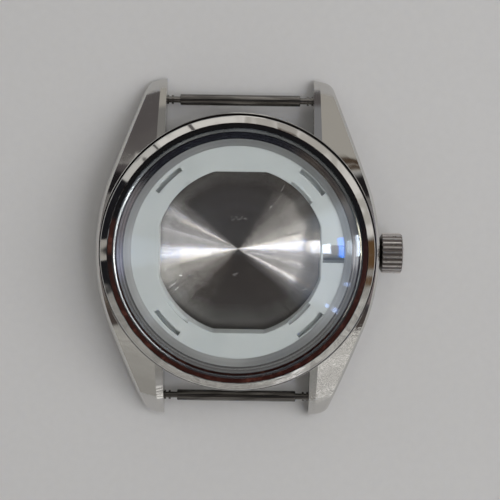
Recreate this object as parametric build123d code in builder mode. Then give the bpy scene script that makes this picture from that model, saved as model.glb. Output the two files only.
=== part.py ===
from build123d import *
from math import acos, atan, atan2, cos, degrees, hypot, radians, sin, tan
import os

# Empty wristwatch case: mid-case with four lugs, pressed bezel, domed crystal, inner flange ring,
# movement ring, crown on its tube, screwed back and two sprung bars for the strap.
# Millimetres. Origin at the centre of the back's rest face, +X to the crown, +Y to twelve o'clock,
# +Z up through the crystal. A height is measured from the rest face unless its name says otherwise.

# Driving dimensions of the case
lug_width = 20.0
lug_to_lug = 46.3
case_width = 38.0
case_bottom = 1.2
case_height = 6.9
case_foot_chamfer = 0.4
cut_overrun = 1.0
press_clearance = 0.02
running_clearance = 0.05
pick_tolerance = 0.02

# Flanks and lugs
flank_radius = 27.7
lug_tip_width = 2.42
lug_end_slope = 13.0
lug_corner_radius = 1.7
lug_bend_place = 9.0
lug_bend_spare = 10.0
lug_tip_height = 1.6
lug_foot_height = 0.35
lug_foot_flat = 1.65
lug_foot_run = 6.5
ridge_base_inset = 1.55
ridge_tip_inset = 0.8
strip_tilt = 22.0
edge_bevel = 0.35
foot_bevel = 0.15
upright_share = 0.87
corner_spare_share = 2.0

# Crystal and its gasket
crystal_radius = 16.7
crystal_wall_height = 1.65
crystal_bevel_width = 0.45
crystal_bevel_height = 0.4
crystal_dome_rise = 1.2
crystal_hollow_radius = 15.2
crystal_hollow_rise = 0.9
crystal_seat_height = 0.25
gasket_wall = 0.63
gasket_foot_width = 0.65
gasket_foot_height = 0.2
gasket_height = 1.5

# Bezel and the neck that it is pressed on
bezel_width = 1.0
bezel_lip_height = 1.07
bezel_outer_drop = 0.3
bezel_bulge = 0.02
bezel_inner_chamfer = 0.08
bezel_outer_chamfer = 0.08
bezel_foot_chamfer = 0.15
neck_wall = 0.48
neck_height = 0.78
bezel_groove_width = 0.18
bezel_groove_depth = 0.2
bezel_groove_gap = 0.1
groove_chamfer = 0.08
barrel_rim_width = 0.2
barrel_rim_chamfer = 0.05

# Inner flange ring under the crystal
flange_cover = 0.15
flange_flat = 1.05
flange_slope_width = 0.95
flange_height = 0.95
flange_skirt = 0.15

# Movement ring
ring_diagonals = (45, 135, 225, 315)
ring_cover = 0.6
ring_shift = 0.26
ring_bore_radius = 11.28
ring_across_flats = 21.5
ring_bore_chamfer = 0.1
ring_recess_radius = 11.72
ring_recess_angle = 19.0
ring_recess_depth = 1.0
ring_slot_radius = 13.55
ring_slot_width = 0.6
ring_slot_angle = 18.7
ring_slot_depth = 1.4
ring_window_width = 2.35
ring_window_wall = 0.3

# Screwed back and its gasket
back_floor_height = 1.4
back_floor_round = 0.3
back_rest_radius = 14.6
back_flange_radius = 17.3
back_flange_edge = 0.45
back_thread_radius = 16.0
back_skirt_wall = 1.6
back_skirt_top = 2.95
back_skirt_chamfer = 0.15
back_notch_count = 6
back_notch_width = 2.2
back_notch_length = 1.3
back_notch_depth = 0.8
back_ring_gap = 0.05
thread_relief = 0.15
seal_width = 0.6
seal_height = 0.6
seal_clearance = 0.05
seal_chamfer = 0.12

# Crown, its tube and seals
crown_axis_height = 5.2
crown_radius = 2.7
crown_length = 3.05
crown_gap = 0.05
crown_dome_rise = 0.32
crown_rim_chamfer = 0.2
crown_root_radius = 2.0
crown_root_length = 0.45
crown_flute_count = 24
crown_flute_radius = 0.3
crown_flute_depth = 0.2
crown_cavity_radius = 1.65
crown_cavity_depth = 2.4
crown_post_radius = 0.78
crown_post_inset = 0.3
stem_thread_radius = 0.45
stem_thread_length = 2.0
tube_radius = 1.25
tube_wall = 0.4
tube_inset = 0.2
tube_end_gap = 0.15
tube_chamfer = 0.1
collar_width = 0.3
collar_thickness = 0.3
collar_inset = 0.05
tube_seal_thickness = 0.35
washer_thickness = 0.25
washer_inset = 0.1
gasket_sides = 8

# Sprung strap bars
bar_place = 20.3
bar_height = 2.4
bar_radius = 0.75
bar_wall = 0.17
bar_end_gap = 1.85
bar_lip_length = 0.3
bar_chamfer = 0.08
bar_pin_radius = 0.4
bar_pin_reach = 0.7
bar_pin_chamfer = 0.1
bar_hole_spare = 0.25
bar_collar_radius = 0.63
bar_collar_thickness = 0.28
bar_collar_inset = 0.05
bar_collar_gap = 0.35
bar_neck_radius = 0.42
bar_head_length = 0.6
bar_head_inset = 0.7
spring_wire_width = 0.12
spring_turns = 8

# Radii that follow, from the crystal outwards and then inwards
bezel_bore_radius = crystal_radius + gasket_wall
bezel_radius = bezel_bore_radius + bezel_width
neck_radius = bezel_bore_radius + neck_wall
groove_radius = bezel_radius + bezel_groove_width
barrel_radius = groove_radius + barrel_rim_width
gasket_foot_radius = crystal_radius - gasket_foot_width
flange_radius = gasket_foot_radius + flange_cover
flange_edge_radius = flange_radius - flange_flat
flange_inner_radius = flange_edge_radius - flange_slope_width
ring_radius = flange_inner_radius + ring_cover
case_bore_radius = ring_radius + ring_shift + running_clearance
ring_window_radius = ring_across_flats / 2 + ring_window_wall
thread_bore_radius = back_thread_radius + running_clearance
seal_inner_radius = back_thread_radius + seal_clearance
seal_outer_radius = seal_inner_radius + seal_width

# Heights that follow
case_top = case_bottom + case_height
neck_top = case_top + neck_height
bezel_top = neck_top + bezel_lip_height
bezel_base = case_top - bezel_groove_depth + bezel_groove_gap
crystal_seat = case_top + crystal_seat_height
crystal_base = crystal_seat + gasket_foot_height
crystal_wall_top = crystal_base + crystal_wall_height
crystal_bevel_top = crystal_wall_top + crystal_bevel_height
crystal_apex = crystal_bevel_top + crystal_dome_rise
flange_base = crystal_seat - flange_height
ring_base = back_skirt_top + back_ring_gap
thread_top = back_skirt_top + thread_relief

# Places along the crown's axis, from the middle of the case
flank_face = case_width / 2
collar_face = flank_face - collar_inset
tube_seal_seat = collar_face - collar_thickness - tube_seal_thickness
crown_foot = flank_face + crown_gap
crown_end = crown_foot + crown_length
crown_floor = crown_foot + crown_cavity_depth
crown_post_face = crown_foot + crown_post_inset
washer_face = crown_foot + washer_inset
crown_axis = Axis((0, 0, crown_axis_height), (1, 0, 0))
crown_plane = Plane.XY.offset(crown_axis_height)

os.makedirs("parts", exist_ok=True)


def finish(part, label):
    """Name the finished piece and write it to its own file."""
    part.label = label
    export_step(part, f"parts/{label}.step")


def rim_edges(walls, side):
    """Edges along the top of upright faces, or along their foot where side is -1."""
    return [
        edge
        for wall in walls
        for edge in wall.edges()
        if side * (edge.center().Z - wall.center().Z) > 0 and abs(edge.tangent_at().Z) < upright_share
    ]


# Quarter of the flanks with one lug. Its side outline, flat and then one arc down to the tip, is swept
# outwards square to the lug for the main facet, and inwards and down for the narrow inner strip. Both
# are trimmed to the outline seen from above and to the underside.
beyond = case_width / 2 + cut_overrun
foot_slope_end = lug_to_lug / 2 - lug_foot_flat
bend_run = lug_to_lug / 2 - lug_bend_place
bend_fall = case_top - lug_tip_height
bend_radius = (bend_run**2 + bend_fall**2) / (2 * bend_fall)
bend_turn = degrees(2 * atan(bend_fall / bend_run)) + lug_bend_spare
ridge_turn = atan2(ridge_base_inset - ridge_tip_inset, lug_to_lug / 2)
ridge_plane = Plane(
    origin=(lug_width / 2 + ridge_base_inset, 0, 0),
    x_dir=(-sin(ridge_turn), cos(ridge_turn), 0),
    z_dir=(cos(ridge_turn), sin(ridge_turn), 0),
)
tip_corner = (
    lug_width / 2 + lug_tip_width,
    lug_to_lug / 2 - lug_tip_width * tan(radians(lug_end_slope)),
)
flank_centre = flank_face - flank_radius
corner_distance = hypot(tip_corner[0] - flank_centre, tip_corner[1])
corner_turn = atan2(tip_corner[1], tip_corner[0] - flank_centre)
lug_flare = degrees(corner_turn - acos(flank_radius / corner_distance))
corner_half_turn = radians(90 - lug_flare - lug_end_slope) / 2
corner_room = lug_tip_width - ridge_tip_inset - corner_spare_share * edge_bevel
corner_radius = min(lug_corner_radius, corner_room / tan(corner_half_turn))
facet_way = Vector(cos(radians(lug_flare)), -sin(radians(lug_flare)), 0)
strip_way = Vector(-cos(radians(strip_tilt)), 0, -sin(radians(strip_tilt)))

with BuildPart() as quarter:
    with BuildSketch(ridge_plane) as side_outline:
        with BuildLine():
            flat = Line((-beyond, case_top), (lug_bend_place, case_top))
            bend = JernArc(flat @ 1, (1, 0), bend_radius, -bend_turn)
            Polyline(bend @ 1, ((bend @ 1).X, -beyond), (-beyond, -beyond), flat @ 0)
        make_face()
    extrude(amount=beyond, dir=facet_way)
    extrude(side_outline.sketch, amount=2 * ridge_base_inset, dir=strip_way)
    with BuildSketch(Plane.XY.offset(-beyond)):
        with BuildLine():
            flank = CenterArc((flank_centre, 0), flank_radius, 0, lug_flare)
            Polyline(
                flank @ 1,
                tip_corner,
                (lug_width / 2, lug_to_lug / 2),
                (lug_width / 2, 0),
                flank @ 0,
            )
        make_face()
        fillet(vertices().sort_by_distance(tip_corner)[0], corner_radius)
    extrude(amount=case_top + 2 * beyond, mode=Mode.INTERSECT)
    with BuildSketch(Plane.YZ.offset(lug_width / 2 - cut_overrun)):
        with BuildLine():
            Polyline(
                (0, case_bottom),
                (foot_slope_end - lug_foot_run, case_bottom),
                (foot_slope_end, lug_foot_height),
                (lug_to_lug / 2 + cut_overrun, lug_foot_height),
                (lug_to_lug / 2 + cut_overrun, case_top + cut_overrun),
                (0, case_top + cut_overrun),
                close=True,
            )
        make_face()
    extrude(amount=beyond, mode=Mode.INTERSECT)
    for side, bevel in ((1, edge_bevel), (-1, foot_bevel)):
        walls = [
            face
            for face in quarter.faces()
            if abs(face.normal_at(None).Z) < pick_tolerance
            and face.center().X > lug_width / 2 + pick_tolerance
            and face.center().Y > pick_tolerance
        ]
        chamfer(rim_edges(walls, side), bevel)

# Mid-case: four mirrored quarters round the barrel, with the bezel's neck and groove, the seats for
# the crystal gasket, the flange ring, the movement ring and the screwed back, the hole for the crown
# tube and the blind holes for the strap bars.
with BuildPart() as mid_case:
    add(quarter.part)
    mirror(about=Plane.XZ)
    mirror(about=Plane.YZ)
    with BuildSketch(Plane.XZ):
        with BuildLine():
            Polyline(
                (0, case_bottom),
                (barrel_radius - case_foot_chamfer, case_bottom),
                (barrel_radius, case_bottom + case_foot_chamfer),
                (barrel_radius, case_top - barrel_rim_chamfer),
                (barrel_radius - barrel_rim_chamfer, case_top),
                (neck_radius, case_top),
                (neck_radius, neck_top),
                (0, neck_top),
                close=True,
            )
        make_face()
    revolve(axis=Axis.Z)
    with BuildSketch(Plane.XZ):
        with BuildLine():
            Polyline(
                (neck_radius, case_top - bezel_groove_depth),
                (groove_radius, case_top - bezel_groove_depth),
                (groove_radius, case_top - groove_chamfer),
                (groove_radius + groove_chamfer, case_top),
                (groove_radius + groove_chamfer, case_top + cut_overrun),
                (neck_radius, case_top + cut_overrun),
                close=True,
            )
        make_face()
    revolve(axis=Axis.Z, mode=Mode.SUBTRACT)
    with BuildSketch(Plane.XZ):
        with BuildLine():
            Polyline(
                (0, case_bottom - cut_overrun),
                (seal_outer_radius + seal_clearance, case_bottom - cut_overrun),
                (seal_outer_radius + seal_clearance, case_bottom + seal_height + seal_clearance),
                (thread_bore_radius, case_bottom + seal_height + seal_clearance),
                (thread_bore_radius, thread_top),
                (case_bore_radius, thread_top),
                (case_bore_radius, flange_base),
                (flange_radius + press_clearance, flange_base),
                (flange_radius + press_clearance, crystal_seat),
                (bezel_bore_radius, crystal_seat),
                (bezel_bore_radius, neck_top + cut_overrun),
                (0, neck_top + cut_overrun),
                close=True,
            )
        make_face()
    revolve(axis=Axis.Z, mode=Mode.SUBTRACT)
    with BuildSketch(Plane(origin=(0, 0, crown_axis_height), z_dir=(1, 0, 0))):
        Circle(tube_radius + press_clearance)
    extrude(amount=flank_face + cut_overrun, mode=Mode.SUBTRACT)
    with BuildSketch(Plane(origin=(tube_seal_seat, 0, crown_axis_height), z_dir=(1, 0, 0))):
        Circle(tube_radius + collar_width + press_clearance)
    extrude(amount=flank_face, mode=Mode.SUBTRACT)
    for end in (1, -1):
        with BuildSketch(Plane(origin=(0, end * bar_place, bar_height), z_dir=(1, 0, 0))):
            Circle(bar_pin_radius + running_clearance)
        extrude(amount=lug_width / 2 + bar_pin_reach + bar_hole_spare, both=True, mode=Mode.SUBTRACT)

finish(mid_case.part, "mid_case")

# Bezel: a polished ring pressed over the neck, with a gently rounded top that falls outwards
with BuildPart() as bezel:
    with BuildSketch(Plane.XZ):
        with BuildLine():
            inner_edge = (bezel_bore_radius + bezel_inner_chamfer, bezel_top)
            outer_edge = (bezel_radius - bezel_outer_chamfer, bezel_top - bezel_outer_drop)
            crest = (
                (inner_edge[0] + outer_edge[0]) / 2,
                bezel_top - bezel_outer_drop / 2 + bezel_bulge,
            )
            ThreePointArc(inner_edge, crest, outer_edge)
            Polyline(
                outer_edge,
                (bezel_radius, bezel_top - bezel_outer_drop - bezel_outer_chamfer),
                (bezel_radius, bezel_base + bezel_foot_chamfer),
                (bezel_radius - bezel_foot_chamfer, bezel_base),
                (neck_radius + press_clearance, bezel_base),
                (neck_radius + press_clearance, neck_top),
                (bezel_bore_radius, neck_top),
                (bezel_bore_radius, bezel_top - bezel_inner_chamfer),
                inner_edge,
            )
        make_face()
    revolve(axis=Axis.Z)

finish(bezel.part, "bezel")

# Crystal: domed outside, hollowed inside, with a bevel round its wall
with BuildPart() as crystal:
    with BuildSketch(Plane.XZ):
        with BuildLine():
            hollow = TangentArc(
                (0, crystal_base + crystal_hollow_rise),
                (crystal_hollow_radius, crystal_base),
                tangent=(1, 0),
            )
            dome = TangentArc(
                (0, crystal_apex),
                (crystal_radius - crystal_bevel_width, crystal_bevel_top),
                tangent=(1, 0),
            )
            Polyline(
                hollow @ 1,
                (crystal_radius, crystal_base),
                (crystal_radius, crystal_wall_top),
                dome @ 1,
            )
            Line(dome @ 0, hollow @ 0)
        make_face()
    revolve(axis=Axis.Z)

finish(crystal.part, "crystal")

# Crystal gasket: a collar round the crystal's wall with a foot under its edge
with BuildPart() as crystal_gasket:
    with BuildSketch(Plane.XZ):
        with BuildLine():
            Polyline(
                (gasket_foot_radius, crystal_seat),
                (bezel_bore_radius - press_clearance, crystal_seat),
                (bezel_bore_radius - press_clearance, crystal_seat + gasket_height),
                (crystal_radius + press_clearance, crystal_seat + gasket_height),
                (crystal_radius + press_clearance, crystal_base),
                (gasket_foot_radius, crystal_base),
                close=True,
            )
        make_face()
    revolve(axis=Axis.Z)

finish(crystal_gasket.part, "crystal_gasket")

# Flange ring: the sloping ring seen between the crystal and the movement ring
with BuildPart() as flange_ring:
    with BuildSketch(Plane.XZ):
        with BuildLine():
            Polyline(
                (flange_inner_radius, flange_base),
                (flange_radius, flange_base),
                (flange_radius, crystal_seat),
                (flange_edge_radius, crystal_seat),
                (flange_inner_radius, flange_base + flange_skirt),
                close=True,
            )
        make_face()
    revolve(axis=Axis.Z)

finish(flange_ring.part, "flange_ring")

# Movement ring: a moulded ring that lies pushed towards the crown, with a four-flatted opening through
# it, four recesses and four arc slots on its diagonals, and an open window for the stem under an arch
ring_top = Plane(origin=(ring_shift, 0, flange_base))

with BuildPart() as movement_ring:
    with BuildSketch(ring_top):
        Circle(ring_radius)
        with BuildSketch(mode=Mode.SUBTRACT):
            Circle(ring_bore_radius)
            Rectangle(ring_across_flats, ring_across_flats, mode=Mode.INTERSECT)
    extrude(amount=ring_base - flange_base)
    bore_edges = movement_ring.faces().sort_by(Axis.Z)[-1].inner_wires()[0].edges()
    chamfer(bore_edges, ring_bore_chamfer)
    with BuildSketch(ring_top):
        for diagonal in ring_diagonals:
            with BuildLine():
                arc_start = diagonal - ring_recess_angle / 2
                recess = CenterArc((0, 0), ring_recess_radius, arc_start, ring_recess_angle)
                Polyline(recess @ 1, (0, 0), recess @ 0)
            make_face()
    extrude(amount=-ring_recess_depth, mode=Mode.SUBTRACT)
    with BuildSketch(ring_top):
        for diagonal in ring_diagonals:
            with BuildLine():
                arc_start = diagonal - ring_slot_angle / 2
                outer_radius = ring_slot_radius + ring_slot_width / 2
                outer_side = CenterArc((0, 0), outer_radius, arc_start, ring_slot_angle)
                inner_side = CenterArc((0, 0), outer_radius - ring_slot_width, arc_start, ring_slot_angle)
                Line(outer_side @ 0, inner_side @ 0)
                Line(outer_side @ 1, inner_side @ 1)
            make_face()
    extrude(amount=-ring_slot_depth, mode=Mode.SUBTRACT)
    with BuildSketch(ring_top):
        with Locations((ring_window_radius, 0)):
            Rectangle(ring_radius, ring_window_width, align=(Align.MIN, Align.CENTER))
    extrude(amount=ring_base - flange_base, mode=Mode.SUBTRACT)
    with BuildSketch(Plane(origin=(0, 0, crown_axis_height), x_dir=(0, 1, 0), z_dir=(1, 0, 0))):
        Circle(ring_window_width / 2)
        Rectangle(ring_window_width, ring_radius, align=(Align.CENTER, Align.MAX))
    extrude(amount=ring_shift + ring_window_radius, mode=Mode.SUBTRACT)

finish(movement_ring.part, "movement_ring")

# Case back: a screwed cup with a flat rest face, a coned flange and notches for the wrench
with BuildPart() as case_back:
    with BuildSketch(Plane.XZ):
        with BuildLine():
            Polyline(
                (0, 0),
                (back_rest_radius, 0),
                (back_flange_radius, back_flange_edge),
                (back_flange_radius, case_bottom),
                (back_thread_radius, case_bottom),
                (back_thread_radius, back_skirt_top - back_skirt_chamfer),
                (back_thread_radius - back_skirt_chamfer, back_skirt_top),
                (back_thread_radius - back_skirt_wall, back_skirt_top),
                (back_thread_radius - back_skirt_wall, back_floor_height),
                (0, back_floor_height),
                close=True,
            )
        make_face()
        floor_corner = (back_thread_radius - back_skirt_wall, back_floor_height)
        fillet(vertices().sort_by_distance(floor_corner)[0], back_floor_round)
    revolve(axis=Axis.Z)
    with BuildSketch(Plane.XY):
        with PolarLocations(back_flange_radius, back_notch_count):
            Rectangle(2 * back_notch_length, back_notch_width)
    extrude(amount=back_notch_depth, mode=Mode.SUBTRACT)

finish(case_back.part, "case_back")

# Back gasket: a ring with bevelled edges round the root of the screwed skirt
with BuildPart() as back_gasket:
    with BuildSketch(Plane.XZ):
        with Locations((seal_inner_radius, case_bottom)):
            Rectangle(seal_width, seal_height, align=(Align.MIN, Align.MIN))
        chamfer(vertices(), seal_chamfer)
    revolve(axis=Axis.Z)

finish(back_gasket.part, "back_gasket")

# Crown tube: pressed into the flank up to its collar, with its seal under the collar
tube_start = case_bore_radius + tube_inset
tube_end = crown_floor - tube_end_gap

with BuildPart() as crown_tube:
    with BuildSketch(crown_plane):
        with BuildLine():
            Polyline(
                (tube_start, tube_radius - tube_wall),
                (tube_start, tube_radius),
                (collar_face - collar_thickness, tube_radius),
                (collar_face - collar_thickness, tube_radius + collar_width),
                (collar_face, tube_radius + collar_width),
                (collar_face, tube_radius),
                (tube_end - tube_chamfer, tube_radius),
                (tube_end, tube_radius - tube_chamfer),
                (tube_end, tube_radius - tube_wall),
                close=True,
            )
        make_face()
    revolve(axis=crown_axis)

finish(crown_tube.part, "crown_tube")

with BuildPart() as tube_gasket:
    with BuildSketch(crown_plane):
        with Locations((tube_seal_seat, tube_radius + press_clearance)):
            Rectangle(
                tube_seal_thickness,
                collar_width - press_clearance,
                align=(Align.MIN, Align.MIN),
            )
    revolve(axis=crown_axis)

finish(tube_gasket.part, "tube_gasket")

# Crown: fluted cap with a domed end, a cavity that slides over the tube and a post tapped for the stem
stem_thread_end = crown_post_face + stem_thread_length

with BuildPart() as crown:
    with BuildSketch(crown_plane):
        with BuildLine():
            rim_start = (crown_end, crown_radius - crown_rim_chamfer)
            Polyline(
                (stem_thread_end, 0),
                (stem_thread_end, stem_thread_radius),
                (crown_post_face, stem_thread_radius),
                (crown_post_face, crown_post_radius),
                (crown_floor, crown_post_radius),
                (crown_floor, crown_cavity_radius),
                (crown_foot, crown_cavity_radius),
                (crown_foot, crown_root_radius),
                (crown_foot + crown_root_length, crown_radius),
                (crown_end - crown_rim_chamfer, crown_radius),
                rim_start,
            )
            dome_edge = TangentArc((crown_end + crown_dome_rise, 0), rim_start, tangent=(0, 1))
            Line(dome_edge @ 0, (stem_thread_end, 0))
        make_face()
    revolve(axis=crown_axis)
    with BuildSketch(Plane(origin=(crown_foot, 0, crown_axis_height), z_dir=(1, 0, 0))):
        with PolarLocations(crown_radius + crown_flute_radius - crown_flute_depth, crown_flute_count):
            Circle(crown_flute_radius)
    extrude(amount=crown_length, mode=Mode.SUBTRACT)

finish(crown.part, "crown")

# Crown washer and gasket: they ride in the crown's cavity and seal on the tube
gasket_section = (crown_cavity_radius - tube_radius) / 2 - press_clearance
gasket_place = washer_face + washer_thickness + press_clearance + gasket_section

with BuildPart() as crown_washer:
    with BuildSketch(crown_plane):
        with Locations((washer_face, tube_radius + running_clearance)):
            Rectangle(
                washer_thickness,
                crown_cavity_radius - press_clearance - tube_radius - running_clearance,
                align=(Align.MIN, Align.MIN),
            )
    revolve(axis=crown_axis)

finish(crown_washer.part, "crown_washer")

with BuildPart() as crown_gasket:
    with BuildSketch(crown_plane):
        with Locations((gasket_place, (crown_cavity_radius + tube_radius) / 2)):
            RegularPolygon(gasket_section, gasket_sides, major_radius=False, rotation=180 / gasket_sides)
    revolve(axis=crown_axis)

finish(crown_gasket.part, "crown_gasket")

# Strap bars at twelve and six o'clock: a tube with turned-in ends, a sprung tip at each end whose pin
# sits in the lug's blind hole, and the spring that pushes the tips apart
bar_bore_radius = bar_radius - bar_wall
bar_lip_radius = bar_neck_radius + running_clearance
bar_half = lug_width / 2 - bar_end_gap
pin_end = lug_width / 2 + bar_pin_reach
outer_collar = lug_width / 2 - bar_collar_inset
inner_collar = outer_collar - bar_collar_thickness - bar_collar_gap
head_end = bar_half - bar_lip_length - bar_head_inset
head_start = head_end - bar_head_length
spring_radius = bar_bore_radius - running_clearance - spring_wire_width / 2
spring_reach = head_start - spring_wire_width / 2 - press_clearance

for end_name, end in (("12", 1), ("6", -1)):
    bar_axis = Axis((0, end * bar_place, bar_height), (1, 0, 0))

    with BuildPart() as bar_tube:
        with BuildSketch(Plane(origin=(0, end * bar_place, bar_height))):
            with BuildLine():
                Polyline(
                    (0, bar_bore_radius),
                    (bar_half - bar_lip_length, bar_bore_radius),
                    (bar_half - bar_lip_length, bar_lip_radius),
                    (bar_half, bar_lip_radius),
                    (bar_half, bar_radius - bar_chamfer),
                    (bar_half - bar_chamfer, bar_radius),
                    (0, bar_radius),
                    close=True,
                )
            make_face()
            mirror(about=Plane.YZ)
        revolve(axis=bar_axis)

    finish(bar_tube.part, f"bar_tube_{end_name}")

    for side_name, side in (("left", -1), ("right", 1)):
        with BuildPart() as bar_tip:
            with BuildSketch(Plane(origin=(0, end * bar_place, bar_height))):
                with BuildLine():
                    Polyline(
                        (side * head_start, 0),
                        (side * head_start, bar_bore_radius - running_clearance),
                        (side * head_end, bar_bore_radius - running_clearance),
                        (side * head_end, bar_neck_radius),
                        (side * (inner_collar - bar_collar_thickness), bar_neck_radius),
                        (side * (inner_collar - bar_collar_thickness), bar_collar_radius),
                        (side * inner_collar, bar_collar_radius),
                        (side * inner_collar, bar_neck_radius),
                        (side * (outer_collar - bar_collar_thickness), bar_neck_radius),
                        (side * (outer_collar - bar_collar_thickness), bar_collar_radius),
                        (side * outer_collar, bar_collar_radius),
                        (side * outer_collar, bar_pin_radius),
                        (side * (pin_end - bar_pin_chamfer), bar_pin_radius),
                        (side * pin_end, bar_pin_radius - bar_pin_chamfer),
                        (side * pin_end, 0),
                        close=True,
                    )
                make_face()
            revolve(axis=bar_axis)

        finish(bar_tip.part, f"bar_tip_{side_name}_{end_name}")

    with BuildPart() as bar_spring:
        with BuildLine() as coil:
            Helix(
                pitch=2 * spring_reach / spring_turns,
                height=2 * spring_reach,
                radius=spring_radius,
                center=(-spring_reach, end * bar_place, bar_height),
                direction=(1, 0, 0),
            )
        with BuildSketch(Plane(origin=coil.line @ 0, z_dir=coil.line % 0)):
            Rectangle(spring_wire_width, spring_wire_width)
        sweep()

    finish(bar_spring.part, f"bar_spring_{end_name}")
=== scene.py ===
from math import cos, degrees, radians, sin

import bpy
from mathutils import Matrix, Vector


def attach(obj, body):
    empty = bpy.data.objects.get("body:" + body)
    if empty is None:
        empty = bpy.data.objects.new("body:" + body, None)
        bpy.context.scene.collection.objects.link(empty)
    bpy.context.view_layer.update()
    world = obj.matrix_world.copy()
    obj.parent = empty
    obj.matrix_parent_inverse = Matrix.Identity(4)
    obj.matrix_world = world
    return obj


# Empty steel watch case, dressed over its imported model. Metres, with the origin at the centre of the
# back's rest face, +X to the crown, +Y to twelve o'clock and +Z up through the crystal.

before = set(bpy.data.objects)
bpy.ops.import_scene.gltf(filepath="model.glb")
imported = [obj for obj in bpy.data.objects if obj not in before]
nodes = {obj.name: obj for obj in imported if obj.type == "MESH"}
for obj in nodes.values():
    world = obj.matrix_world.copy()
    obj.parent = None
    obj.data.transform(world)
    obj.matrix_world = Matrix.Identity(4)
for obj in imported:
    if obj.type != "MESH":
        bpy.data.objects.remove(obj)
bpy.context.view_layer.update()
scene = bpy.context.scene
MM = 0.001

# Sizes of the case that finishes and trim follow, in millimetres
crown_height = 5.2
crown_foot = 19.05
crown_radius = 2.7
# The next four sizes place painted shade on the crown, at its root against the case and in its flute
# valleys.
crown_root_clear = 0.45
crown_root_dark = 0.3
flute_depth = 0.2
flute_dark_start = 0.02
# The next four sizes place painted shade in the groove at the bezel's foot.
groove_radius = 18.56
groove_fade = 0.1
groove_foot = 6.0
groove_full = 6.5
crackle_start = -8.0
crackle_full = -11.0
crackle_side = 4.0
thread_radius = 16.0
thread_depth = 0.04
thread_half_width = 0.14
thread_pitch = 0.5
thread_start = 1.75
thread_end = 2.65
thread_steps = 96
# The next five sizes place painted shade on the crystal gasket, black towards twelve o'clock, and a spot
# at nine o'clock that is left without it.
gasket_shade_full = -3.0
gasket_shade_clear = 4.0
gasket_lit_spot = (-16.8, 2.0, 0.0)
lit_spot_radius = 2.9
lit_spot_core = 1.8
plastic_scatter = 0.6

# Widths of turned rings and depths of marks on the surfaces, in millimetres
back_ring_width = 0.005
flange_ring_width = 0.02
tube_ring_width = 0.02
case_wave_depth = 0.02
crackle_depth = 0.008
case_brush_depth = 0.006
plastic_grain_depth = 0.006
bar_groove_depth = 0.008
crown_brush_depth = 0.01

# Short nicks on the inside of the back: X, Y, turn in degrees, length and width
back_nicks = (
    (-0.75, 3.95, 24.0, 0.7, 0.05),
    (-0.3, 4.3, -40.0, 0.6, 0.05),
    (0.1, 4.0, 18.0, 0.7, 0.05),
    (0.45, 4.35, 60.0, 0.6, 0.04),
    (0.95, 4.1, -15.0, 0.6, 0.05),
    (-0.95, 4.35, 75.0, 0.4, 0.04),
    (-0.25, -3.4, 18.0, 0.9, 0.05),
    (-0.5, -3.6, -20.0, 0.7, 0.04),
    (-8.9, -5.1, 42.0, 1.3, 0.05),
    (-8.3, -5.6, 38.0, 0.8, 0.04),
    (5.9, 8.3, 62.0, 1.2, 0.05),
    (9.1, -5.4, 20.0, 0.9, 0.05),
    (4.3, 5.7, 50.0, 0.5, 0.06),
    (-9.9, -3.0, 75.0, 0.7, 0.04),
)

# Camera: nearly overhead and a little towards twelve o'clock. Its place and sensor are in millimetres, its
# turn in radians, its focus and the side of its image in pixels, and its nearest distance in metres.
camera_place = (2.92, 21.07, 240.0)
camera_turn = (-0.0888, 0.0068, 0.0146)
camera_focus = 1740.0
image_side = 500.0
sensor = 36.0
nearest = 0.01

camera_data = bpy.data.cameras.new("camera")
camera_data.sensor_width = sensor
camera_data.lens = camera_focus / image_side * sensor
camera_data.clip_start = nearest
camera = bpy.data.objects.new("camera", camera_data)
camera.location = Vector(camera_place) * MM
camera.rotation_euler = camera_turn
scene.collection.objects.link(camera)
scene.camera = camera


class Value:
    """A number, vector or colour in a node tree. Sums in Python add Math nodes to the tree."""

    def __init__(self, owner, socket):
        self.owner = owner
        self.socket = socket

    def maths(self, operation, *others):
        return self.owner.node("ShaderNodeMath", {"operation": operation}, self, *others)

    def __add__(self, other):
        return self.maths("ADD", other)

    def __radd__(self, other):
        return self.maths("ADD", other)

    def __sub__(self, other):
        return self.maths("SUBTRACT", other)

    def __rsub__(self, other):
        return self.owner.node("ShaderNodeMath", {"operation": "SUBTRACT"}, other, self)

    def __mul__(self, other):
        return self.maths("MULTIPLY", other)

    def __rmul__(self, other):
        return self.maths("MULTIPLY", other)

    def __truediv__(self, other):
        return self.maths("DIVIDE", other)

    def __abs__(self):
        return self.maths("ABSOLUTE")

    def ramp(self, low, high, to_low=0.0, to_high=1.0):
        """Smooth step from low to high, clamped."""
        settings = {"interpolation_type": "SMOOTHSTEP"}
        return self.owner.node("ShaderNodeMapRange", settings, self, low, high, to_low, to_high)


class Nodes:
    """A node tree whose nodes are added one call at a time."""

    def __init__(self, tree):
        self.tree = tree

    def node(self, kind, settings=None, *values, out=0, **named):
        """Adds a node, sets its settings first, then the values or links of its sockets."""
        made = self.tree.nodes.new(kind)
        for key, value in (settings or {}).items():
            setattr(made, key, value)
        sockets = list(enumerate(values))
        sockets += [(key.replace("_", " "), value) for key, value in named.items()]
        for key, value in sockets:
            if value is None:
                continue
            if isinstance(value, Value):
                self.tree.links.new(value.socket, made.inputs[key])
            elif made.inputs[key].type == "RGBA":
                made.inputs[key].default_value = (*value[:3], 1.0)
            else:
                made.inputs[key].default_value = value
        return Value(self, made.outputs[out]) if made.outputs else None


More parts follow.
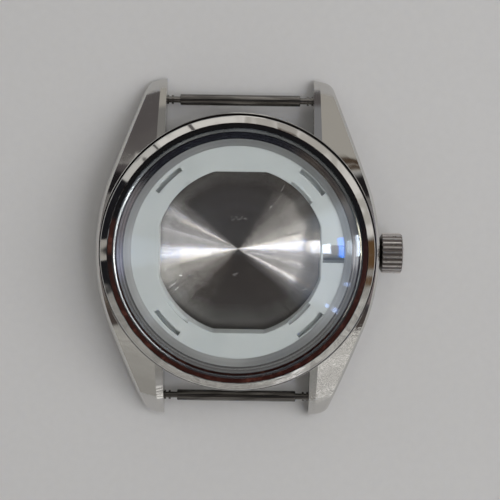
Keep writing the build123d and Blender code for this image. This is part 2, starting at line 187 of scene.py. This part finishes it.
class Finish(Nodes):
    """A material, or the world, that starts with no nodes."""

    def __init__(self, target):
        self.target = target
        self.target.use_nodes = True
        super().__init__(self.target.node_tree)
        self.tree.nodes.clear()

    def place(self):
        """Object coordinates."""
        return self.node("ShaderNodeTexCoord", out="Object")

    def facing(self):
        """X, Y and Z of the way that the surface faces."""
        return self.parts(self.node("ShaderNodeNewGeometry", out="Normal"))

    def parts(self, vector):
        """X, Y and Z of a vector."""
        first = self.node("ShaderNodeSeparateXYZ", None, vector)
        return [Value(self, output) for output in first.socket.node.outputs]

    def joined(self, x, y, z):
        """A vector of three parts."""
        return self.node("ShaderNodeCombineXYZ", None, x, y, z)

    def vector(self, operation, *values, out=0, **named):
        """Vector sums."""
        return self.node("ShaderNodeVectorMath", {"operation": operation}, *values, out=out, **named)

    def round_axis(self, x, y):
        """Level vector from the upright axis, its length and its direction."""
        flat = self.joined(x, y, 0.0)
        return flat, self.vector("LENGTH", flat, out="Value"), self.vector("NORMALIZE", flat)

    def noise(self, vector, scale, detail=2.0, roughness=0.5):
        """Cloudy noise from 0 to 1, with about as many clouds along one unit as its scale says."""
        sockets = {"Vector": vector, "Scale": scale, "Detail": detail, "Roughness": roughness}
        return self.node("ShaderNodeTexNoise", {"noise_dimensions": "3D"}, **sockets)

    def streaks(self, vector, scales, detail=2.0, roughness=0.5):
        """Noise with a scale for each of X, Y and Z, so that its clouds are long one way."""
        return self.noise(self.vector("MULTIPLY", vector, scales), 1.0, detail, roughness)

    def rings(self, distance, width):
        """A number from 0 to 1 for each ring of a width in millimetres, with no order among them."""
        return self.node("ShaderNodeTexWhiteNoise", {"noise_dimensions": "1D"}, W=distance / (width * MM))

    def mixed(self, share, first, second):
        """Colour mix. The node's colours are its seventh and eighth sockets and its third output."""
        others = [None] * 5
        return self.node("ShaderNodeMix", {"data_type": "RGBA"}, share, *others, first, second, out=2)

    def bump(self, height, depth, strength=1.0, normal=None):
        """The surface's normal with marks of a depth in metres."""
        sockets = {"Strength": strength, "Distance": depth, "Height": height, "Normal": normal}
        return self.node("ShaderNodeBump", **sockets)

    def tilted(self, direction, slope):
        """The surface's normal, leant along a direction of the object by a slope."""
        lean = self.vector("SCALE", direction, Scale=slope)
        settings = {"vector_type": "VECTOR", "convert_from": "OBJECT", "convert_to": "WORLD"}
        lean = self.node("ShaderNodeVectorTransform", settings, lean)
        upright = self.node("ShaderNodeNewGeometry", out="Normal")
        return self.vector("NORMALIZE", self.vector("ADD", upright, lean))

    def surface(self, **named):
        """The Principled shader."""
        return self.node("ShaderNodeBsdfPrincipled", **named)

    def done(self, shader):
        """Joins the shader to the output, and gives the material or world."""
        world = isinstance(self.target, bpy.types.World)
        self.node("ShaderNodeOutputWorld" if world else "ShaderNodeOutputMaterial", None, shader)
        return self.target

    def metal(self, tone, rough, normal):
        """Ends the finish as bare metal."""
        return self.done(self.surface(Base_Color=tone, Metallic=1.0, Roughness=rough, Normal=normal))


def material(name):
    """A new material's finish."""
    return Finish(bpy.data.materials.new(name))


def polished(name, colour, roughness, wave_slope=0.0, wave_scale=300.0, haze=0.04):
    """Polished steel: faint handling marks, thin scratches and a little waviness."""
    smeared = tuple(0.9 * part for part in colour)
    finish = material(name)
    place = finish.place()
    marks = finish.noise(place, 1500.0, 3.0)
    smears = finish.noise(place, 120.0, 3.0)
    scratches = finish.streaks(place, (900.0, 5200.0, 900.0)).ramp(0.66, 0.74)
    rough = roughness + haze * smears.ramp(0.45, 0.75) + 0.03 * marks + 0.06 * scratches
    tone = finish.mixed(smears.ramp(0.4, 0.8, 0.0, 0.25), colour, smeared)
    waves = finish.noise(place, wave_scale, 1.0)
    return finish.metal(tone, rough, finish.bump(waves, wave_slope / wave_scale))


def tube_steel():
    """Crown tube, turned in fine rings about the crown's axis."""
    steel = (0.6, 0.6, 0.59)
    ring_slope = 0.2
    finish = material("tube_steel")
    from_axis = finish.vector("SUBTRACT", finish.place(), (0.0, 0.0, crown_height * MM))
    x, y, z = finish.parts(from_axis)
    flat = finish.joined(0.0, y, z)
    radius = finish.vector("LENGTH", flat, out="Value")
    outward = finish.vector("NORMALIZE", flat)
    rings = finish.rings(radius + x, tube_ring_width)
    rough = 0.2 + 0.08 * finish.noise(flat, 900.0, 3.0)
    return finish.metal(steel, rough, finish.tilted(outward, (rings - 0.5) * ring_slope))


def case_steel():
    """Polished lugs and flanks, brushed on upright faces, with painted shade in the groove at the bezel's
    foot.
    """
    bright = (0.66, 0.65, 0.63)
    smeared = (0.58, 0.57, 0.55)
    # The next colour is painted shade, for the groove at the bezel's foot.
    grime_and_groove_shade = (0.03, 0.027, 0.025)
    finish = material("case_steel")
    place = finish.place()
    x, y, z = finish.parts(place)
    face_z = finish.facing()[2]
    marks = finish.noise(place, 1500.0, 3.0)
    smears = finish.noise(place, 110.0, 3.0)
    upright = abs(face_z).ramp(0.25, 0.12)
    brushing = finish.streaks(place, (9000.0, 9000.0, 260.0), 3.0)
    scratches = finish.streaks(place, (700.0, 4600.0, 700.0)).ramp(0.66, 0.74)
    rough = 0.05 + 0.05 * smears.ramp(0.42, 0.8) + 0.03 * marks + 0.06 * scratches + 0.12 * upright
    tone = finish.mixed(smears.ramp(0.4, 0.8, 0.0, 0.3), bright, smeared)
    # Painted shade: nearly black inside the groove's radius and above its foot, where the groove at the
    # bezel's foot lies in shade.
    radius = finish.vector("LENGTH", finish.joined(x, y, 0.0), out="Value")
    groove = radius.ramp((groove_radius + groove_fade) * MM, groove_radius * MM)
    groove = groove * z.ramp(groove_foot * MM, groove_full * MM)
    tone = finish.mixed(groove, tone, grime_and_groove_shade)
    waves = finish.noise(place, 260.0, 1.0)
    lower_right = y.ramp(crackle_start * MM, crackle_full * MM) * x.ramp(0.0, crackle_side * MM)
    crackle = finish.streaks(place, (1500.0, 2600.0, 1500.0))
    crackle = abs(crackle - 0.5).ramp(0.0, 0.2) * lower_right * face_z.ramp(0.15, 0.35)
    normal = finish.bump(waves, case_wave_depth * MM)
    normal = finish.bump(crackle, crackle_depth * MM, 1.0, normal)
    normal = finish.bump(brushing * upright, case_brush_depth * MM, 0.5, normal)
    return finish.metal(tone, rough, normal)


def turned_back():
    """Back: fine turned rings, faint rays of wear and short bright nicks."""
    dark = (0.5, 0.475, 0.455)
    light = (0.6, 0.575, 0.55)
    worn = (0.36, 0.338, 0.322)
    bare = (0.85, 0.84, 0.82)
    ring_slope = 0.44
    finish = material("back_steel")
    place = finish.place()
    x, y, _ = finish.parts(place)
    _, radius, outward = finish.round_axis(x, y)
    rings = finish.rings(radius, back_ring_width)
    bands = finish.noise(finish.joined(radius, 0.0, 0.0), 2600.0, 3.0)
    rays = finish.streaks(outward, (60.0, 60.0, 0.0), 3.0, 0.7)
    nicks = finish.streaks(place, (420.0, 1500.0, 0.0)).ramp(0.72, 0.75)
    for nick_x, nick_y, turn, length, width in back_nicks:
        off_x = x - nick_x * MM
        off_y = y - nick_y * MM
        along = off_x * cos(radians(turn)) + off_y * sin(radians(turn))
        across = off_y * cos(radians(turn)) - off_x * sin(radians(turn))
        nick = abs(along).ramp(length / 2 * MM, length / 3 * MM) * abs(across).ramp(width * MM, 0.0)
        nicks = nicks.maths("MAXIMUM", nick)
    rough = 0.03 + 0.05 * rays + 0.25 * nicks
    tone = finish.mixed(bands, dark, light)
    tone = finish.mixed(rays.ramp(0.35, 0.7, 0.0, 0.5), tone, worn)
    tone = finish.mixed(nicks, tone, bare)
    return finish.metal(tone, rough, finish.tilted(outward, (rings - 0.5) * ring_slope))


def flange_steel():
    """Flange ring: polished flat under the crystal's edge and a finely turned slope inside it."""
    dark = (0.34, 0.34, 0.345)
    light = (0.7, 0.7, 0.71)
    ring_slope = 0.22
    swell_slope = 0.15
    finish = material("flange_steel")
    x, y, _ = finish.parts(finish.place())
    flat, radius, outward = finish.round_axis(x, y)
    level = finish.facing()[2].ramp(0.9, 0.97)
    rings = finish.rings(radius, flange_ring_width)
    marks = finish.noise(flat, 700.0, 3.0)
    swells = finish.noise(finish.joined(radius, 0.0, 0.0), 2600.0, 1.0) - 0.5
    slope = (rings - 0.5) * (ring_slope - ring_slope * level) + swell_slope * swells * level
    rough = 0.4 - 0.36 * level + 0.02 * marks
    tone_share = (swells * (0.15 + 0.85 * level) + 0.5).ramp(0.35, 0.65)
    tone = finish.mixed(tone_share, dark, light)
    return finish.metal(tone, rough, finish.tilted(outward, slope))


def crystal_glass():
    """Clear crystal with a faint blue coating and painted shade on its bevel, whose glass is tinted dark.
    Lamps shine straight through it.
    """
    inside = (0.965, 0.985, 0.99)
    # The next colour is painted shade, tinting the bevel's glass dark.
    edge = (0.27, 0.28, 0.28)
    coating = (0.7, 0.82, 1.0)
    shade = (0.96, 0.98, 0.98)
    finish = material("crystal_glass")
    marks = finish.noise(finish.place(), 400.0, 3.0)
    face_z = finish.facing()[2]
    # Painted shade: the bevel's glass takes the dark tint, and its roughness is raised as well.
    bevel = face_z.ramp(0.95, 0.85) * face_z.ramp(0.4, 0.5)
    glass = finish.surface(
        Base_Color=finish.mixed(bevel, inside, edge),
        Roughness=marks.ramp(0.55, 0.8, 0.0, 0.015) + 0.2 * bevel,
        IOR=1.52,
        Transmission_Weight=1.0,
        Specular_Tint=coating,
    )
    clear = finish.node("ShaderNodeBsdfTransparent", None, shade)
    lamp_ray = finish.node("ShaderNodeLightPath", out="Is Shadow Ray")
    return finish.done(finish.node("ShaderNodeMixShader", None, lamp_ray, glass, clear))


def moulded(name, colour, second, roughness, scatter=0.0, grain=1500.0):
    """Moulded plastic or rubber: a fine grain, cloudy colour and a soft sheen."""
    finish = material(name)
    place = finish.place()
    marks = finish.noise(place, grain, 3.0)
    clouds = finish.noise(place, 160.0, 3.0)
    plastic = finish.surface(
        Base_Color=finish.mixed(clouds.ramp(0.35, 0.7), colour, second),
        Roughness=roughness + 0.12 * (marks - 0.5) + 0.08 * clouds,
        Normal=finish.bump(marks, plastic_grain_depth * MM, 0.6),
        Subsurface_Weight=scatter,
        Subsurface_Radius=(1.0, 1.0, 1.0),
        Subsurface_Scale=plastic_scatter * MM,
    )
    return finish.done(plastic)


def gasket_plastic():
    """Glossy red-brown nylon round the crystal with cloudy red patches, and painted shade that turns it
    nearly black towards twelve o'clock, except in a spot at nine o'clock.
    """
    black = (0.004, 0.004, 0.005)
    brown = (0.035, 0.011, 0.008)
    red = (0.11, 0.036, 0.026)
    finish = material("crystal_gasket")
    place = finish.place()
    x, y, _ = finish.parts(place)
    patches = finish.noise(place, 800.0, 3.0, 0.65)
    # Painted shade: nearly black towards twelve o'clock, fading to the gasket's red-brown towards six.
    unshaded = (0.1 * x - y).ramp(gasket_shade_full * MM, gasket_shade_clear * MM)
    # Painted light: a spot at nine o'clock where the painted shade is lifted.
    lit_spot_place = tuple(part * MM for part in gasket_lit_spot)
    lit_spot = finish.vector("DISTANCE", finish.joined(x, y, 0.0), lit_spot_place, out="Value")
    unshaded = unshaded.maths("MAXIMUM", lit_spot.ramp(lit_spot_radius * MM, lit_spot_core * MM))
    tone = finish.mixed(unshaded, black, brown)
    tone = finish.mixed(unshaded * patches.ramp(0.48, 0.75), tone, red)
    rough = 0.1 + 0.1 * patches
    return finish.done(finish.surface(Base_Color=tone, Roughness=rough, Specular_IOR_Level=0.3))


def bar_steel():
    """Turned bars: thin grooves round the bar and a dark film."""
    bare = (0.2, 0.19, 0.18)
    filmed = (0.085, 0.08, 0.076)
    finish = material("bar_steel")
    place = finish.place()
    x = finish.parts(place)[0]
    grooves = finish.noise(finish.joined(x, 0.0, 0.0), 5000.0, 3.0)
    film = finish.streaks(place, (250.0, 2000.0, 2000.0), 3.0)
    tone = finish.mixed(film.ramp(0.35, 0.7), bare, filmed)
    rough = 0.1 + 0.1 * film
    return finish.metal(tone, rough, finish.bump(grooves, bar_groove_depth * MM, 0.5))


def crown_steel():
    """Crown: satin flutes with painted shade in their valleys, brushed rings on the end, and painted shade
    at the root against the case.
    """
    clean = (0.62, 0.59, 0.58)
    grime_and_groove_shade = (0.42, 0.4, 0.39)
    # The next two colours are painted shade, for the flute valleys and for the root against the case.
    shaded = (0.13, 0.115, 0.108)
    root_shade = (0.1, 0.09, 0.085)
    finish = material("crown_steel")
    place = finish.place()
    x, y, z = finish.parts(place)
    across = finish.joined(0.0, y, z - crown_height * MM)
    radius = finish.vector("LENGTH", across, out="Value")
    brushing = finish.streaks(place, (300.0, 7000.0, 7000.0), 3.0)
    rings = finish.noise(finish.joined(radius, 0.0, 0.0), 9000.0, 3.0)
    grime = finish.noise(place, 900.0, 3.0)
    end = finish.facing()[0].ramp(0.7, 0.9)
    # Painted shade: darker at the root, where the crown meets the case, and in the flute valleys away from
    # the end.
    root = x.ramp((crown_foot + crown_root_clear) * MM, (crown_foot + crown_root_dark) * MM)
    valley = radius.ramp((crown_radius - flute_dark_start) * MM, (crown_radius - flute_depth) * MM)
    tone = finish.mixed(grime.ramp(0.4, 0.75, 0.0, 0.5), clean, grime_and_groove_shade)
    tone = finish.mixed(valley * (1.0 - end), tone, shaded)
    tone = finish.mixed(root, tone, root_shade)
    rough = 0.2 + 0.1 * grime + 0.08 * brushing
    marks = end * rings + (1.0 - end) * brushing
    return finish.metal(tone, rough, finish.bump(marks, crown_brush_depth * MM, 0.6))


tube_finish = tube_steel()
spring_finish = polished("spring_steel", (0.45, 0.45, 0.44), 0.2)
rubber_finish = moulded("seal_rubber", (0.02, 0.02, 0.02), (0.035, 0.033, 0.03), 0.5)
bar_finish = bar_steel()
back_finish = turned_back()

finishes = {
    "mid_case": case_steel(),
    "bezel": polished("bezel_steel", (0.68, 0.67, 0.66), 0.045, 0.05, 220.0, 0.02),
    "crystal": crystal_glass(),
    "crystal_gasket": gasket_plastic(),
    "flange_ring": flange_steel(),
    "movement_ring": moulded("ring_plastic", (0.52, 0.545, 0.55), (0.56, 0.58, 0.585), 0.35, 0.35, 900.0),
    "crown_tube": tube_finish,
    "tube_gasket": rubber_finish,
    "crown": crown_steel(),
    "crown_gasket": rubber_finish,
    "crown_washer": tube_finish,
    "case_back": back_finish,
    "back_gasket": rubber_finish,
}
for end in ("12", "6"):
    finishes[f"bar_tube_{end}"] = bar_finish
    finishes[f"bar_tip_left_{end}"] = bar_finish
    finishes[f"bar_tip_right_{end}"] = bar_finish
    finishes[f"bar_spring_{end}"] = spring_finish
for name, finish in finishes.items():
    nodes[name].material_slots[0].material = finish


def thread_tree(steel):
    """Nodes that wind a low ridge round an upright axis, and their inputs' identifiers by name."""
    winder = Nodes(bpy.data.node_groups.new("thread", "GeometryNodeTree"))
    faces = winder.tree.interface
    inputs = {}
    for name in ("Radius", "Depth", "Half Width", "Start", "Height", "Turns"):
        inputs[name] = faces.new_socket(name, in_out="INPUT", socket_type="NodeSocketFloat").identifier
    inputs["Steps"] = faces.new_socket("Steps", in_out="INPUT", socket_type="NodeSocketInt").identifier
    faces.new_socket("Geometry", in_out="OUTPUT", socket_type="NodeSocketGeometry")
    group_input = winder.node("NodeGroupInput").socket.node
    given = {name: Value(winder, group_input.outputs[name]) for name in inputs}
    path = winder.node(
        "GeometryNodeCurveSpiral",
        Resolution=given["Steps"],
        Rotations=given["Turns"],
        Start_Radius=given["Radius"],
        End_Radius=given["Radius"],
        Height=given["Height"],
    )
    path = winder.node("GeometryNodeSetCurveNormal", {"mode": "Z_UP"}, Curve=path)
    section = winder.node("GeometryNodeCurvePrimitiveCircle", Resolution=4, Radius=1.0)
    section_size = winder.node("ShaderNodeCombineXYZ", None, given["Depth"], given["Half Width"], 1.0)
    section = winder.node("GeometryNodeTransform", Geometry=section, Scale=section_size)
    ridge = winder.node("GeometryNodeCurveToMesh", Curve=path, Profile_Curve=section, Fill_Caps=True)
    start = winder.node("ShaderNodeCombineXYZ", Z=given["Start"])
    ridge = winder.node("GeometryNodeTransform", Geometry=ridge, Translation=start)
    ridge = winder.node("GeometryNodeRealizeInstances", Geometry=ridge)
    ridge = winder.node("GeometryNodeSetMaterial", Geometry=ridge, Material=steel)
    winder.node("NodeGroupOutput", Geometry=ridge)
    return winder.tree, inputs


def wound_mesh(name, tree, inputs, sizes):
    """The mesh that a tree makes from its named inputs."""
    blank = bpy.data.objects.new("blank", bpy.data.meshes.new("blank"))
    scene.collection.objects.link(blank)
    winding = blank.modifiers.new("thread", "NODES")
    winding.node_group = tree
    for key, size in sizes.items():
        winding[inputs[key]] = size
    blank.update_tag()
    wound = blank.evaluated_get(bpy.context.evaluated_depsgraph_get())
    mesh = bpy.data.meshes.new_from_object(wound)
    mesh.name = name
    bpy.data.objects.remove(blank)
    return mesh


thread_height = thread_end - thread_start
thread_sizes = {
    "Radius": thread_radius * MM,
    "Depth": thread_depth * MM,
    "Half Width": thread_half_width * MM,
    "Start": thread_start * MM,
    "Height": thread_height * MM,
    "Turns": thread_height / thread_pitch,
    "Steps": thread_steps,
}
thread_mesh = wound_mesh("back_thread", *thread_tree(back_finish), thread_sizes)
back_thread = bpy.data.objects.new("back_thread", thread_mesh)
scene.collection.objects.link(back_thread)
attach(back_thread, "back")

# Floor
floor_side = 2.0
floor_corners = [(x * floor_side, y * floor_side, 0.0) for x, y in ((-1, -1), (1, -1), (1, 1), (-1, 1))]
floor_mesh = bpy.data.meshes.new("floor")
floor_mesh.from_pydata(floor_corners, [], [(0, 1, 2, 3)])
floor = bpy.data.objects.new("floor", floor_mesh)
scene.collection.objects.link(floor)
floor_dark = (0.66, 0.66, 0.665)
floor_light = (0.7, 0.7, 0.705)
floor_finish = material("floor")
floor_grain = floor_finish.noise(floor_finish.place(), 900.0, 3.0)
floor_tone = floor_finish.mixed(floor_grain, floor_dark, floor_light)
floor_mesh.materials.append(floor_finish.done(floor_finish.surface(Base_Color=floor_tone, Roughness=0.9)))

# Surroundings: a studio of pale and dark panels, each between two turns about the case and two rises
# above the floor, in degrees. Turns and rises are counted about a way that leans a little from straight
# up, towards nine and six o'clock. A later panel covers the earlier ones.
studio_lean = (-0.01217, -0.08779, 0.0)
down = -90.0
up = 90.0
studio = Finish(bpy.data.worlds.new("studio"))
scene.world = studio.target
way = studio.node("ShaderNodeTexCoord", out="Generated")
way_x, way_y, _ = studio.parts(studio.vector("SUBTRACT", way, studio_lean))
_, level_length, flat_way = studio.round_axis(way_x, way_y)
rise = level_length.maths("ARCCOSINE") * degrees(1.0)


def panel(turn, half_turn, low, high, soft):
    """How much of a way lies on a panel whose edges are soft."""
    facing = (cos(radians(turn)), sin(radians(turn)), 0.0)
    nearness = studio.vector("DOT_PRODUCT", flat_way, facing, out="Value")
    edge = cos(radians(min(half_turn + soft, 180.0)))
    share = nearness.ramp(edge, cos(radians(max(half_turn - soft, 0.0))))
    if low > down:
        share = share * rise.ramp(low - soft, low + soft)
    if high < up:
        share = share * rise.ramp(high + soft, high - soft)
    return share


def hung(light, panels):
    """The light of each way, with panels hung before it."""
    for shape, colour in panels:
        light = studio.mixed(panel(*shape), light, colour)
    return light


# Low panels, which the lugs and the flanks mirror: turn, half turn, lowest and highest rise, softness
low_panels = (
    ((45.0, 45.0, down, 50.0, 6.0), (0.24, 0.235, 0.225)),
    ((90.0, 12.0, down, 42.0, 4.0), (1.0, 0.98, 0.94)),
    ((120.0, 26.0, down, 46.0, 4.0), (0.24, 0.24, 0.25)),
    ((152.0, 13.0, down, 32.0, 5.0), (1.4, 1.4, 1.42)),
    ((180.0, 16.0, down, 36.0, 4.0), (0.3, 0.3, 0.3)),
    ((215.0, 24.0, down, 40.0, 5.0), (0.25, 0.25, 0.24)),
    ((325.0, 20.0, down, 40.0, 5.0), (0.24, 0.23, 0.22)),
)

# High panels, which the bezel mirrors
bands = studio.streaks(flat_way, (4.0, 4.0, 0.0)).ramp(0.4, 0.55)
banded = studio.mixed(bands, (0.5, 0.48, 0.44), (0.8, 0.78, 0.74))
fine_bands = studio.streaks(flat_way, (80.0, 80.0, 0.0), 3.0, 0.7).ramp(0.42, 0.62)
fine_dark = studio.mixed(fine_bands, (0.22, 0.215, 0.2), (0.46, 0.45, 0.42))
fine_light = studio.mixed(fine_bands, (0.24, 0.235, 0.22), (0.75, 0.74, 0.7))
high_panels = (
    ((68.0, 59.0, 30.0, 59.0, 1.5), banded),
    ((135.0, 12.5, 36.0, 63.0, 1.5), (0.62, 0.61, 0.58)),
    ((129.8, 1.1, 36.0, 68.0, 0.8), (0.03, 0.025, 0.025)),
    ((172.0, 25.0, 20.0, 66.0, 1.5), (0.012, 0.012, 0.014)),
    ((179.5, 3.5, 20.0, 62.0, 1.0), (0.42, 0.4, 0.37)),
    ((275.0, 78.0, 40.0, 66.0, 2.0), fine_dark),
    ((313.0, 30.0, 40.0, 66.0, 2.0), fine_light),
    ((358.0, 9.0, 20.0, 70.0, 2.0), (0.13, 0.075, 0.035)),
)

# Narrow panels, which the four lugs mirror up to the bezel
lug_panels = (
    ((112.8, 2.8, down, 59.5, 1.0), (0.11, 0.1, 0.1)),
    ((118.0, 8.0, 56.5, 68.0, 1.2), (0.09, 0.08, 0.082)),
    ((68.0, 5.0, down, 59.5, 1.5), (0.43, 0.41, 0.375)),
    ((248.0, 5.0, down, 59.5, 1.5), (0.33, 0.32, 0.3)),
)

# A brown stain for the upper right lug, a rippled pale panel that the lower right lug shows as a fine
# crackle, and pale creases that the bezel shows towards six o'clock
stain_colour = (0.06, 0.036, 0.02)
patches = studio.noise(way, 26.0, 3.0).ramp(0.34, 0.5)
stain_share = patches * panel(66.5, 5.0, 49.5, 58.5, 2.0)
ripples = studio.streaks(way, (22.0, 22.0, 16.0), 1.0)
rippled = studio.mixed(abs(ripples - 0.5).ramp(0.1, 0.03), (0.24, 0.235, 0.225), (1.2, 1.18, 1.15))
ripple_share = panel(292.5, 5.5, down, 66.0, 2.0)
crease_colour = (0.75, 0.74, 0.7)
creases = studio.streaks(way, (30.0, 30.0, 48.0))
crease_share = abs(creases - 0.5).ramp(0.03, 0.008) * panel(285.0, 60.0, 34.0, 68.0, 14.0)

# Overhead, which the turned back mirrors
overhead = (
    ((90.0, 60.0, 62.5, up, 2.0), (0.016, 0.014, 0.015)),
    ((180.0, 35.0, 65.0, up, 2.0), (0.14, 0.13, 0.13)),
    ((270.0, 50.0, 66.0, up, 2.0), (0.075, 0.06, 0.054)),
    ((0.0, 24.0, 65.0, up, 2.0), (0.1, 0.09, 0.085)),
    ((34.0, 8.0, 65.0, 78.0, 8.0), (0.32, 0.3, 0.285)),
)

# Straight overhead, which the flange mirrors through the crystal's edge from the far side of the case
hoops = studio.noise(studio.joined(rise * 0.9, 0.0, 0.0), 1.0, 1.0).ramp(0.38, 0.6)
hooped = studio.mixed(hoops, (0.155, 0.147, 0.143), (0.235, 0.225, 0.218))
swirls = studio.streaks(way, (70.0, 70.0, 0.0), 3.0).ramp(0.5, 0.62)
swirled = studio.mixed(swirls, (0.04, 0.028, 0.024), (0.34, 0.29, 0.24))
zenith = (
    ((90.0, 80.0, 80.0, up, 2.0), hooped),
    ((282.0, 42.0, 80.0, up, 4.0), (0.016, 0.015, 0.021)),
    ((215.0, 25.0, 80.0, up, 4.0), swirled),
    ((340.0, 15.0, 80.0, up, 4.0), (0.22, 0.182, 0.18)),
    ((3.0, 7.0, 80.0, up, 3.0), (0.39, 0.38, 0.48)),
    ((183.0, 5.0, 80.0, up, 3.0), (0.88, 0.84, 0.86)),
)

# Lamps, which turned steel draws out into rays. Those towards the crown show in the crystal as well.
lamps = (
    ((345.0, 16.0, 69.0, 79.0, 5.0), (1.15, 1.18, 1.28)),
    ((12.0, 13.0, 69.0, 77.0, 5.0), (2.3, 2.27, 2.2)),
    ((166.0, 13.0, 65.0, 71.0, 4.0), (1.2, 1.2, 1.2)),
    ((6.5, 7.5, 65.0, 69.0, 1.0), (8.0, 7.9, 7.8)),
    ((187.0, 7.0, 65.2, 68.4, 0.5), (10.0, 9.3, 7.6)),
    ((333.0, 1.8, 65.2, 68.4, 0.5), (19.0, 19.3, 20.0)),
    ((347.0, 1.8, 65.2, 68.4, 0.5), (7.0, 7.0, 7.2)),
    ((153.5, 1.5, 65.2, 68.4, 0.5), (5.0, 4.0, 2.9)),
    ((4.0, 2.9, 74.2, 75.5, 0.3), (30.0, 29.0, 28.0)),
    ((4.0, 5.5, 71.8, 72.8, 0.3), (0.0, 5.5, 20.0)),
    ((4.0, 5.5, 69.6, 70.4, 0.3), (30.0, 29.5, 29.0)),
    ((330.5, 0.9, 72.2, 72.8, 0.3), (6.0, 8.0, 14.0)),
    ((330.5, 1.2, 71.0, 71.5, 0.3), (8.0, 9.0, 13.0)),
    ((330.5, 1.2, 69.4, 69.8, 0.3), (14.0, 14.5, 17.0)),
    ((330.5, 1.2, 68.5, 68.9, 0.3), (14.0, 12.0, 10.0)),
    ((345.0, 1.0, 70.9, 71.4, 0.3), (7.0, 8.0, 11.0)),
    ((345.0, 1.0, 69.4, 69.8, 0.3), (12.0, 12.5, 15.0)),
    ((345.0, 1.0, 68.5, 68.9, 0.3), (10.0, 10.5, 12.0)),
    ((180.0, 7.0, 68.0, 77.0, 4.0), (1.3, 1.3, 1.4)),
)

room = (0.36, 0.355, 0.35)
light = hung(room, low_panels + high_panels + lug_panels)
light = studio.mixed(stain_share, light, stain_colour)
light = studio.mixed(ripple_share, light, rippled)
light = studio.mixed(crease_share, light, crease_colour)
light = hung(light, overhead + zenith + lamps)
studio.done(studio.node("ShaderNodeBackground", None, light, 1.0))

# Large soft lamp from the upper right, for the floor and the plastic ring. Steel doesn't mirror it.
lamp_side = 0.5
lamp_power = 1.35
lamp_place = (0.36, 0.06, 0.45)
lamp_data = bpy.data.lights.new("soft_lamp", "AREA")
lamp_data.size = lamp_side
lamp_data.energy = lamp_power
lamp = bpy.data.objects.new("soft_lamp", lamp_data)
lamp.location = lamp_place
lamp.rotation_euler = Vector(lamp.location).to_track_quat("Z", "Y").to_euler()
lamp.visible_glossy = False
scene.collection.objects.link(lamp)

scene.view_settings.view_transform = "Standard"
